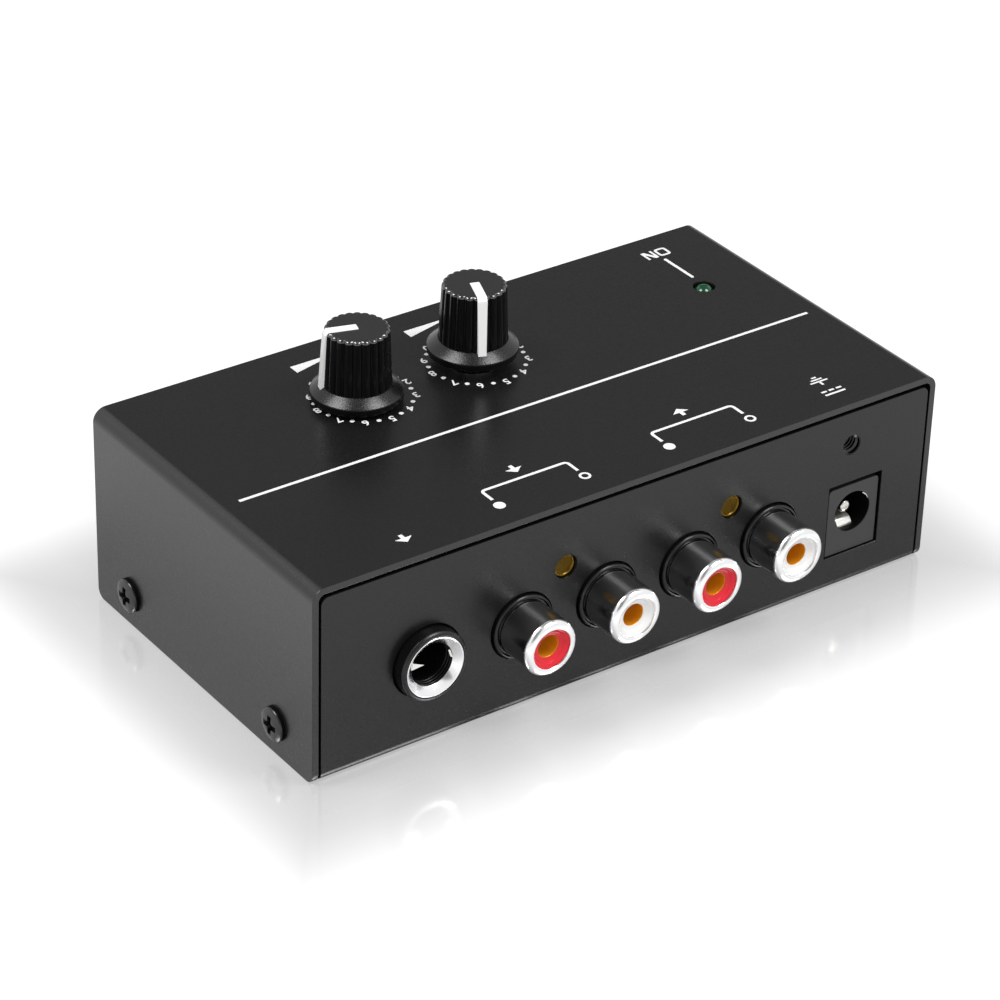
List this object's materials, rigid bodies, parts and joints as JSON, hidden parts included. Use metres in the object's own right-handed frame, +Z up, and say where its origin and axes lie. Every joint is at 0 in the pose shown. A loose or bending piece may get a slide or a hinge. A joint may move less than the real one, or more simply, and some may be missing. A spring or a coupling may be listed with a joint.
{
  "type": "phono preamplifier",
  "caption": "Compact phono preamplifier in a bent-steel case, with level and volume knobs on top and phone, phono-pin, DC and earth connectors on the rear panel.",
  "frame": {"origin": "centre of the case's underside", "axes": "+X to the right of someone facing the front, +Y towards the rear connector panel, +Z up"},
  "size_m": [0.1068, 0.062, 0.0424],
  "materials": {
    "case_coat": "satin black powder coat with fine grain",
    "black_screws": "black oxide, slightly glossy",
    "jack_plastic": "moulded black nylon",
    "chrome_plating": "bright plated",
    "insulator_red": "glossy red",
    "insulator_white": "glossy white",
    "contact_brass": "gilded",
    "plate_brass": "rolled sheet",
    "spring_metal": "bright rolled strip",
    "inlet_pin": "plated",
    "nut_steel": "zinc plated",
    "lamp_green": "tinted clear lens",
    "tinned_leads": "tinned",
    "spacer_nylon": "black nylon",
    "board_laminate": "green solder mask",
    "standoff_brass": "turned",
    "zinc_screws": "zinc plated",
    "pot_moulding": "dark green moulding",
    "pot_steel": "pressed sheet",
    "shaft_aluminium": "turned",
    "knob_plastic": "black, glossy flutes and matte top",
    "pointer_white": "white second shot",
    "chip_epoxy": "moulded epoxy",
    "capacitor_sleeve": "heat-shrunk sleeve",
    "film_epoxy": "dipped epoxy",
    "resistor_lacquer": "lacquered"
  },
  "bodies": {
    "case": {"top_cover": "case_coat", "base_tray": "case_coat", "cover_screws": "black_screws", "board_standoffs": "standoff_brass", "board_screws": "zinc_screws", "circuit_board": "board_laminate", "phone_jack_body": "jack_plastic", "phone_jack_ferrule": "chrome_plating", "phone_jack_springs": "spring_metal", "dc_inlet_body": "jack_plastic", "dc_inlet_pin": "inlet_pin", "dc_inlet_spring": "spring_metal", "ground_nut": "nut_steel", "power_led": "lamp_green", "led_leads": "tinned_leads", "led_spacer": "spacer_nylon", "pot_terminals": "tinned_leads", "amplifier_chips": "chip_epoxy", "signal_capacitors": "capacitor_sleeve", "supply_capacitors": "capacitor_sleeve", "film_capacitors": "film_epoxy", "resistors": "resistor_lacquer", "supply_diode": "chip_epoxy", "regulator": "chip_epoxy", "output_jack_housing": "jack_plastic", "output_jack_shells": "chrome_plating", "output_jack_insulator_right": "insulator_red", "output_jack_insulator_left": "insulator_white", "output_jack_contacts": "contact_brass", "output_jack_plate": "plate_brass", "input_jack_housing": "jack_plastic", "input_jack_shells": "chrome_plating", "input_jack_insulator_right": "insulator_red", "input_jack_insulator_left": "insulator_white", "input_jack_contacts": "contact_brass", "input_jack_plate": "plate_brass", "level_pot_body": "pot_moulding", "level_pot_frame": "pot_steel", "volume_pot_body": "pot_moulding", "volume_pot_frame": "pot_steel"},
    "level_control": {"level_knob": "knob_plastic", "level_knob_pointer": "pointer_white", "level_pot_shaft": "shaft_aluminium"},
    "volume_control": {"volume_knob": "knob_plastic", "volume_knob_pointer": "pointer_white", "volume_pot_shaft": "shaft_aluminium"}
  },
  "joints": [
    {"name": "level_turn", "type": "hinge", "parent": "case", "child": "level_control", "pos_m": [0.0006, -0.0107, 0.03], "axis": [0, 0, -1], "range_deg": [-171, 129]},
    {"name": "volume_turn", "type": "hinge", "parent": "case", "child": "volume_control", "pos_m": [0.02, -0.0107, 0.03], "axis": [0, 0, -1], "range_deg": [-257, 43]}
  ]
}
